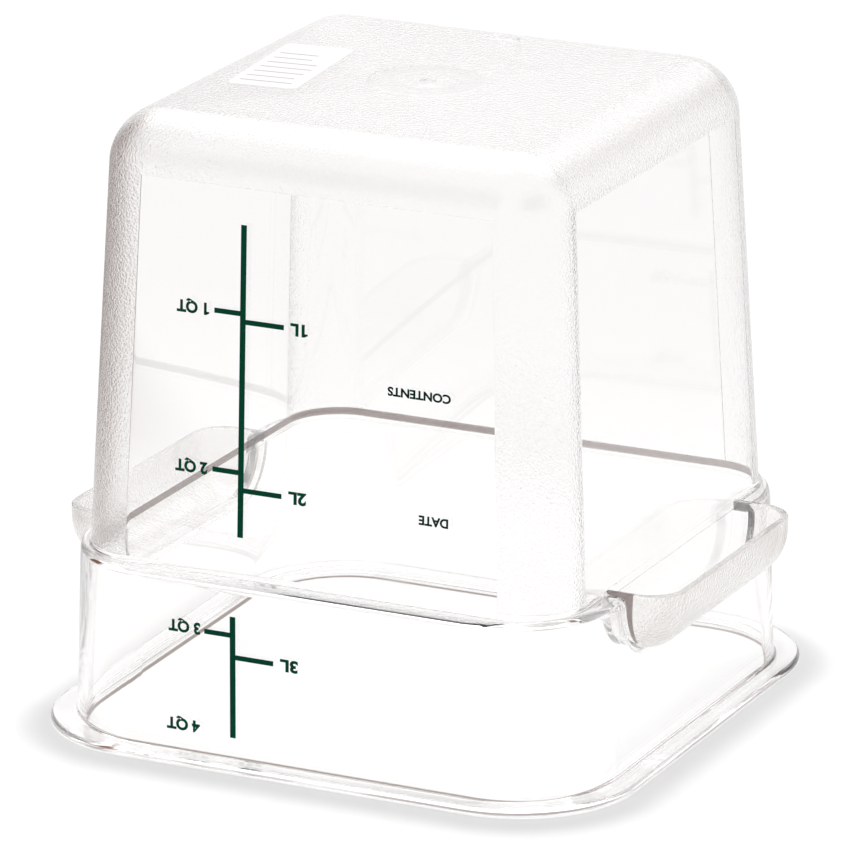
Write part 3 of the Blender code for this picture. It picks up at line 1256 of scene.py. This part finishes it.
@dataclass(frozen=True)
class Lettering:
    """Words printed upside down on a wall, their strokes a little widened."""

    name: str
    words: tuple[Words, ...]
    wall: Wall
    weight: float = 0.044
    film: float = INK_FILM
    gap: float = INK_GAP
    weld: float = 0.000005
    curve_steps: int = 5
    half_thick: float = 0.5
    stem_slack: float = 0.001
    flag: tuple[tuple[float, float], ...] = ((0.05, 0.0), (-0.24, -0.14), (-0.24, -0.27), (0.05, -0.27))

    def add_flag(self, data: bpy.types.Mesh) -> None:
        """Give a leading numeral 1, which the font draws as a bare stem, the short flag at its top.

        Args:
            data: the word's mesh, which starts with the 1.
        """
        left = min(vert.co.x for vert in data.vertices)
        stem = [vert.co.copy() for vert in data.vertices if vert.co.x - left < self.stem_slack]
        top = max(spot.y for spot in stem)
        tall = top - min(spot.y for spot in stem)
        faces = (min(spot.z for spot in stem), max(spot.z for spot in stem))
        mesh = bmesh.new()
        mesh.from_mesh(data)
        add_rings(mesh, [[(left + x * tall, top + y * tall, z) for x, y in self.flag] for z in faces])
        mesh.to_mesh(data)
        mesh.free()

    def letters(self, text: str) -> bpy.types.Mesh:
        """A word's letters as a closed mesh, about 1 unit high and thick.

        Args:
            text: what it says.

        Returns:
            The mesh.
        """
        curve = bpy.data.curves.new(text, "FONT")
        curve.body = text
        curve.offset = self.weight
        curve.extrude = self.half_thick
        curve.resolution_u = self.curve_steps
        made = stand(text, curve)
        data = plain_mesh(made)
        bpy.data.objects.remove(made)
        if text.startswith("1"):
            self.add_flag(data)
        return data

    def build(self, ink: bpy.types.Material) -> bpy.types.Object:
        """The whole lettering.

        Args:
            ink: its finish.

        Returns:
            Its object.
        """
        mesh = bmesh.new()
        for word in self.words:
            first = len(mesh.verts)
            mesh.from_mesh(self.letters(word.text))
            mesh.verts.ensure_lookup_table()
            fresh = mesh.verts[first:]
            low = [min(v.co[axis] for v in fresh) for axis in range(3)]
            span = [max(v.co[axis] for v in fresh) - low[axis] for axis in range(3)]
            for vert in fresh:
                across, up, out = ((vert.co[axis] - low[axis]) / span[axis] for axis in range(3))
                x = word.x - (across - 0.5) * word.width
                z = word.z - (up - 0.5) * word.height
                vert.co = (x, self.wall.face_at(z) - self.gap - out * self.film, z)
        bmesh.ops.remove_doubles(mesh, verts=mesh.verts, dist=self.weld)
        bmesh.ops.recalc_face_normals(mesh, faces=mesh.faces)
        data = bpy.data.meshes.new(self.name)
        mesh.to_mesh(data)
        mesh.free()
        data.materials.append(ink)
        made = stand(self.name, data)
        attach(made, BODY)
        report(made)
        return made


@dataclass(frozen=True)
class Scale:
    """One bar of the printed volume scale, with its ticks, on one wall."""

    name: str
    wall: Wall
    bar_x: float
    top: float
    foot: float
    quarts: tuple[float, ...]
    litres: tuple[float, ...]
    bar_line: float = 0.0018
    tick_line: float = 0.0015
    quart_tick: float = 0.0082
    litre_tick: float = 0.0121
    film: float = INK_FILM
    gap: float = INK_GAP

    def build(self, tree: bpy.types.NodeTree, ink: bpy.types.Material) -> bpy.types.Object:
        """The bar and its ticks, printed by Geometry Nodes.

        Args:
            tree: the scale's geometry tree.
            ink: its finish.

        Returns:
            The print's object, in place of the frame's scale.
        """
        marks = []
        for heights, tick, way in ((self.quarts, self.quart_tick, -1), (self.litres, self.litre_tick, 1)):
            reach = tick + self.bar_line / 2
            marks += [((self.bar_x + way * reach / 2, 0.0, z), reach) for z in heights]
        data = bpy.data.meshes.new(f"{self.name}_marks")
        data.from_pydata([spot for spot, _ in marks], [], [])
        reaches = [reach for _, reach in marks]
        data.attributes.new("reach", "FLOAT", "POINT").data.foreach_set("value", reaches)
        made = stand(f"{self.name}_print", data)
        inputs = titled(self, "bar_x", "foot", "top", "bar_line", "tick_line", "film", "gap") | {"Ink": ink}
        run(made, tree, inputs | titled(self.wall, "low", "high", "half_low", "half_high"))
        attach(made, BODY)
        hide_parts(self.name)
        report(made)
        return made


def rule_tree() -> bpy.types.NodeTree:
    """Geometry nodes that rule short lines of uneven length on the label, one under another.

    Returns:
        A tree that makes the lines round the label's own middle and turns them into place.
    """
    sizes = ("Spacing", "Shortest", "Longest", "Line", "Film", "Left", "First")
    inputs = {"Label": Kind.GEOMETRY, "Rule Count": Kind.COUNT, "Rule Seed": Kind.COUNT}
    inputs |= {f"Rule {size}": Kind.NUMBER for size in sizes}
    inputs |= {"Turn": Kind.NUMBER, "Middle": Kind.VECTOR, "Ink": Kind.MATERIAL}
    build, given = new_group("GeometryNodeTree", "label_rules", inputs, {"Rules": Kind.GEOMETRY})
    inputs = {"Count": given["Rule Count"]}
    inputs |= {"Start Location": build.vector(given["Rule Left"], given["Rule First"], 0.0)}
    inputs |= {"Offset": build.vector(0.0, given["Rule Spacing"], 0.0)}
    line = build.add("GeometryNodeMeshLine", inputs, mode="OFFSET", count_mode="TOTAL").outputs["Mesh"]
    pick = build.add("FunctionNodeRandomValue", {"Seed": given["Rule Seed"]}, data_type="FLOAT")
    ends = [item for item in pick.inputs if item.type == "VALUE"]
    for end, title in zip(ends, ("Rule Shortest", "Rule Longest")):
        build.feed(end, given[title])
    length = next(item for item in pick.outputs if item.type == "VALUE")
    unit = build.add("GeometryNodeMeshCube", {"Size": UNIT_CUBE}).outputs["Mesh"]
    aside = build.add("GeometryNodeTransform", {"Geometry": unit, "Translation": (0.5, 0.0, 0.5)}).outputs[0]
    stretch = build.vector(length, given["Rule Line"], given["Rule Film"])
    inputs = {"Points": line, "Instance": aside, "Scale": stretch}
    rows = build.add("GeometryNodeInstanceOnPoints", inputs).outputs[0]
    spin = build.vector(0.0, 0.0, given["Turn"])
    inputs = {"Geometry": rows, "Translation": given["Middle"], "Rotation": spin}
    turned = build.add("GeometryNodeTransform", inputs).outputs[0]
    real = build.add("GeometryNodeRealizeInstances", {"Geometry": turned}).outputs[0]
    inked = build.add("GeometryNodeSetMaterial", {"Geometry": real, "Material": given["Ink"]}).outputs[0]
    build.add("NodeGroupOutput", {"Rules": inked})
    return build.tree


@dataclass(frozen=True)
class Label:
    """The plain white label on the base, a thin film with round corners, and the lines ruled on it."""

    seat: float
    width: float = 0.0215
    length: float = 0.0475
    corner: float = 0.0020
    x: float = -0.0425
    y: float = -0.0030
    turn: float = radians(5)
    gap: float = 0.00004
    film: float = 0.00010
    edge: float = 0.00003
    crease: float = radians(40)
    corner_steps: int = 8
    rule_count: int = 7
    rule_seed: int = 3
    rule_spacing: float = 0.0052
    rule_first: float = -0.0185
    rule_left: float = -0.0085
    rule_shortest: float = 0.0105
    rule_longest: float = 0.0165
    rule_line: float = 0.0007
    rule_film: float = 0.00002

    @property
    def top(self) -> float:
        """The height of the label's face."""
        return self.seat + self.gap + self.film

    def outline(self, inset: float, z: float) -> list[Point]:
        """The label's outline at one height.

        Args:
            inset: how far it is moved in from the label's edge.
            z: its height.

        Returns:
            Its points in order.
        """
        ring = []
        corner = self.corner - inset
        for turn, (sx, sy) in enumerate(((1, 1), (-1, 1), (-1, -1), (1, -1))):
            for angle in quarter(self.corner_steps):
                a = angle + turn * pi / 2
                x = sx * (self.width / 2 - self.corner) + corner * cos(a)
                y = sy * (self.length / 2 - self.corner) + corner * sin(a)
                along = self.x + x * cos(self.turn) - y * sin(self.turn)
                across = self.y + x * sin(self.turn) + y * cos(self.turn)
                ring.append((along, across, z))
        return ring

    def sheet(self, finish: bpy.types.Material) -> bpy.types.Object:
        """The label's film.

        Args:
            finish: its finish.

        Returns:
            Its object, in place of the frame's label.
        """
        places = ((0.0, self.seat + self.gap), (0.0, self.top - self.edge), (self.edge, self.top))
        made = shape("label_film", [self.outline(inset, z) for inset, z in places], finish)
        made.data.set_sharp_from_angle(angle=self.crease)
        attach(made, BODY)
        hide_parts("base_label")
        report(made)
        return made

    def rules(self, ink: bpy.types.Material) -> bpy.types.Object:
        """The lines on the label.

        Args:
            ink: their finish.

        Returns:
            Their object.
        """
        lines = stand("label_rules", bpy.data.meshes.new("label_rules"))
        names = [item.name for item in fields(self) if item.name.startswith("rule_")]
        inputs = titled(self, "turn", *names) | {"Middle": (self.x, self.y, self.top), "Ink": ink}
        run(lines, rule_tree(), inputs)
        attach(lines, BODY)
        report(lines)
        return lines


@dataclass(frozen=True)
class Patch:
    """A part of the surround, in degrees: its middle, its half sizes and its edge, and how strong it is."""

    azimuth: float
    elevation: float
    half_azimuth: float
    half_elevation: float
    strength: float = 1.0
    soft: float = 5.0

    def mask(self, build: Tree, azimuth: Socket, elevation: Socket) -> Socket:
        """Where the patch is, in the world.

        Args:
            build: the world's tree.
            azimuth: a direction's azimuth, from -Y towards +X.
            elevation: its height above the horizon, as an angle.

        Returns:
            The mask, as high as the patch is strong.
        """
        soft = radians(self.soft) / 2
        wide, high = radians(self.half_azimuth), radians(self.half_elevation)
        raised = build.math("ABSOLUTE", build.math("SUBTRACT", elevation, radians(self.elevation)))
        across = build.ramp(build.turn(azimuth, radians(self.azimuth)), wide + soft, wide - soft)
        return build.product(across, build.ramp(raised, high + soft, high - soft), self.strength)


@dataclass(frozen=True)
class Studio:
    """The camera, the pale floor and the soft light round the object.

    The camera sees white all round. Reflections and what is seen through the plastic also meet the dark
    gaps between the white panels and the room beyond the floor's lit sheet, and one brighter panel.
    """

    azimuth: float = radians(25.953)
    elevation: float = radians(17.796)
    roll: float = radians(-0.138)
    distance: float = 2.1158
    target_height: float = 0.0808
    sensor: float = 36.0
    lens: float = 306.85
    shift_x: float = -0.0044
    shift_y: float = 0.0001
    sight: float = 50.0
    bounces: int = 56
    floor_half: float = 6.0
    floor_drop: float = 0.0001
    floor_paint: Point = (0.22, 0.22, 0.22)
    floor_glow: float = 0.80
    sheet_azimuth: float = radians(-95)
    sheet_turn: float = radians(34)
    sheet_soft: float = radians(12)
    sheet_near: float = 0.17
    sheet_far: float = 0.42
    sheet_end: float = 0.10
    contact_half: float = 0.0820
    contact_corner: float = 0.0270
    contact_width: float = 0.0011
    contact_dark: float = 0.95
    rim_half: float = 0.0920
    rim_corner: float = 0.0360
    shade_shift: tuple[float, float] = (0.002, -0.004)
    shade_width: float = 0.013
    shade_dark: float = 0.32
    room: Point = (0.12, 0.04, 0.02)
    gaps: tuple[Patch, ...] = (
        Patch(-105, 14, 21, 30),
        Patch(-72, 10, 14, 22, 0.8),
        Patch(-165, 25, 13, 6, 0.6),
        Patch(137, 31, 13, 12, 0.9),
        Patch(165, 15, 13, 6, 0.95),
        Patch(-33, 25, 14, 14, 1.0, 3.0),
        Patch(58, 25, 26, 14, 1.0, 3.0),
    )
    panel: Patch = Patch(-154, 52, 60, 18, 1.6, 20.0)

    def camera(self) -> None:
        """Set up the camera where the object is seen from."""
        az, el = self.azimuth, self.elevation
        back = Vector((sin(az) * cos(el), -cos(az) * cos(el), sin(el)))
        level = Vector((cos(az), sin(az), 0))
        upright = back.cross(level)
        right = cos(self.roll) * level + sin(self.roll) * upright
        up = cos(self.roll) * upright - sin(self.roll) * level
        place = Matrix((right, up, back)).transposed().to_4x4()
        place.translation = back * self.distance + Vector((0, 0, self.target_height))
        lens = bpy.data.cameras.new("camera")
        lens.sensor_width = self.sensor
        lens.lens = self.lens
        lens.shift_x = self.shift_x
        lens.shift_y = self.shift_y
        lens.clip_end = self.sight
        made = stand("camera", lens)
        made.matrix_world = place
        bpy.context.scene.camera = made

    def floor(self) -> None:
        """Lay the pale floor under the rim."""
        reach = self.floor_half
        signs = ((-1, -1), (1, -1), (1, 1), (-1, 1))
        corners = [(sx * reach, sy * reach, -self.floor_drop) for sx, sy in signs]
        data = bpy.data.meshes.new("floor")
        data.from_pydata(corners, [], [(0, 1, 2, 3)])
        made = stand("floor", data)
        material, build, shader = new_material("floor")
        shader.inputs["Base Color"].default_value = (*self.floor_paint, 1.0)
        shader.inputs["Roughness"].default_value = 1.0
        shader.inputs["Specular IOR Level"].default_value = 0.0
        path = build.add("ShaderNodeLightPath").outputs
        # the glow takes the room's colour past the floor's sheet, and as a painted shadow under the rim's
        # inner edge
        bare = build.product(self.bare(build), build.inverse(path["Is Camera Ray"]))
        build.feed(shader.inputs["Emission Color"], build.blend(bare, WHITE, self.room))
        seen = build.math("MAXIMUM", path["Is Camera Ray"], path["Is Glossy Ray"])
        seen = build.math("MAXIMUM", seen, path["Is Transmission Ray"])
        # painted shadow: the floor's glow is dimmed beside the rim
        glow = build.product(seen, self.shade(build), self.floor_glow)
        build.feed(shader.inputs["Emission Strength"], glow)
        data.materials.append(material)

    def bare(self, build: Tree) -> Socket:
        """Where the floor isn't lit: past its sheet, most on one side, and in a painted shadow under the
        rim's inner edge.

        Args:
            build: the floor's tree.

        Returns:
            The mask, 1 where no light gets.
        """
        parts = build.parts(build.spot())
        turned = build.turn(build.azimuth(parts), self.sheet_azimuth)
        aside = build.ramp(turned, self.sheet_turn + self.sheet_soft, self.sheet_turn)
        away = build.ramp(build.distance(parts["X"], parts["Y"]), self.sheet_near, self.sheet_far)
        past = build.product(away, build.math("MAXIMUM", aside, self.sheet_end))
        return build.math("MAXIMUM", past, self.contact(build))

    def beyond(self, build: Tree, half: float, corner: float, shift: Sequence[float] = (0.0, 0.0)) -> Socket:
        """How far a place on the floor is outside a square with round corners.

        Args:
            build: the floor's tree.
            half: half the square's width.
            corner: its corner radius.
            shift: where its middle is.

        Returns:
            The distance, less than 0 inside the square.
        """
        parts = build.parts(build.spot())
        over = []
        for place, middle in zip((parts["X"], parts["Y"]), shift):
            aside = build.math("ABSOLUTE", build.math("SUBTRACT", place, middle))
            over.append(build.math("SUBTRACT", aside, half - corner))
        out = build.distance(*(build.math("MAXIMUM", one, 0.0) for one in over))
        out = build.math("ADD", out, build.math("MINIMUM", build.math("MAXIMUM", *over), 0.0))
        return build.math("SUBTRACT", out, corner)

    def contact(self, build: Tree) -> Socket:
        """A painted shadow: where no light gets under the rounded inner edge of the rim.

        Args:
            build: the floor's tree.

        Returns:
            The mask, highest in a thin line round the mouth.
        """
        aside = build.math("ABSOLUTE", self.beyond(build, self.contact_half, self.contact_corner))
        return build.product(build.ramp(aside, self.contact_width, self.contact_width / 2), self.contact_dark)

    def shade(self, build: Tree) -> Socket:
        """A painted shadow: how much the rim shades the sheet beside it, most towards the front.

        Args:
            build: the floor's tree.

        Returns:
            The share of its glow that the sheet keeps.
        """
        near = self.beyond(build, self.rim_half, self.rim_corner, self.shade_shift)
        near = build.ramp(near, self.shade_width, 0.0)
        free = build.ramp(self.beyond(build, self.rim_half, self.rim_corner), 0.0, -self.contact_width)
        return build.inverse(build.product(near, build.inverse(free), self.shade_dark))

    def world(self) -> None:
        """Light the studio evenly from all round, but for its dark gaps and its brighter panel."""
        made = bpy.data.worlds.new("studio")
        bpy.context.scene.world = made
        made.use_nodes = True
        build = Tree(made.node_tree)
        background = made.node_tree.nodes["Background"]
        parts = build.parts(build.add("ShaderNodeTexCoord").outputs["Generated"])
        elevation = build.math("ARCSINE", parts["Z"])
        azimuth = build.azimuth(parts)
        unseen = build.inverse(build.add("ShaderNodeLightPath").outputs["Is Camera Ray"])
        dark: Value = 0.0
        for gap in self.gaps:
            dark = build.math("MAXIMUM", dark, gap.mask(build, azimuth, elevation))
        build.feed(background.inputs["Color"], build.blend(build.product(dark, unseen), WHITE, self.room))
        bright = build.product(self.panel.mask(build, azimuth, elevation), unseen)
        build.feed(background.inputs["Strength"], build.math("ADD", bright, 1.0))

    def build(self) -> None:
        """Set up the whole studio and the way pictures are taken in it."""
        self.camera()
        self.floor()
        self.world()
        scene = bpy.context.scene
        scene.view_settings.view_transform = "Standard"
        scene.cycles.max_bounces = self.bounces
        scene.cycles.transmission_bounces = self.bounces
        scene.cycles.glossy_bounces = self.bounces
        scene.cycles.blur_glossy = 0.0
        log.info("studio: camera %.2f m away", self.distance)


def print_face(body: Wall, collar: Wall, effects: Effects) -> None:
    """Print the face: the volume scale on both walls, its numbers, and the two field words.

    Args:
        body: the body's wall.
        collar: the collar's wall.
        effects: the shared shader groups.
    """
    upper = Scale(
        "scale_upper",
        body,
        bar_x=-0.0221,
        top=0.1580,
        foot=0.0665,
        quarts=(0.1322, 0.0856),
        litres=(0.1299, 0.0805),
    )
    lower = Scale(
        "scale_lower",
        collar,
        bar_x=-0.0211,
        top=0.0450,
        foot=0.0085,
        quarts=(0.0394,),
        litres=(0.0329,),
    )
    numbers = {
        upper: (
            Words("1 QT", -0.0380, 0.1325, 0.0104, 0.0043),
            Words("1L", -0.0043, 0.1297, 0.0055, 0.0037),
            Words("2 QT", -0.0380, 0.0857, 0.0103, 0.0043),
            Words("2L", -0.0041, 0.0805, 0.0057, 0.0038),
        ),
        lower: (
            Words("3 QT", -0.0366, 0.0401, 0.0102, 0.0043),
            Words("3L", -0.0031, 0.0329, 0.0057, 0.0038),
            Words("4 QT", -0.0371, 0.0104, 0.0107, 0.0043),
        ),
    }
    field_words = (
        Words("CONTENTS", 0.0336, 0.1159, 0.0197, 0.0027),
        Words("DATE", 0.0388, 0.0798, 0.0092, 0.0028),
    )
    ink = PRINT_INK.material(effects)
    tree = scale_tree()
    for scale, words in numbers.items():
        scale.build(tree, ink)
        Lettering(f"{scale.name}_numbers", words, scale.wall).build(ink)
    Lettering("field_words", field_words, body, weight=0.036).build(WORD_INK.material(effects))


def stick_label(seat: float, effects: Effects) -> None:
    """Stick the ruled label on the base.

    Args:
        seat: the height of the base's face.
        effects: the shared shader groups.
    """
    label = Label(seat)
    label.sheet(LABEL_PAPER.material(effects))
    label.rules(RULE_INK.material(effects))


def main() -> None:
    """Build every piece in order."""
    logging.basicConfig(level=logging.INFO, format="%(message)s")
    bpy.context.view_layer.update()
    effects = Effects(stipple_group(), window_group(), handling_group())
    _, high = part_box("container")
    moulding = Moulding(rim_half=high.y, height=high.z, handle_far=high.x)
    moulding.build(ClearFinish(), effects)
    body = Wall(moulding.shoulder_top, moulding.base_start, moulding.body_half_low, moulding.body_half_high)
    collar = Wall(0.0, moulding.collar_height, moulding.collar_half_low, moulding.collar_half_high)
    print_face(body, collar, effects)
    stick_label(moulding.height, effects)
    Studio().build()


if __name__ == "__main__":
    main()
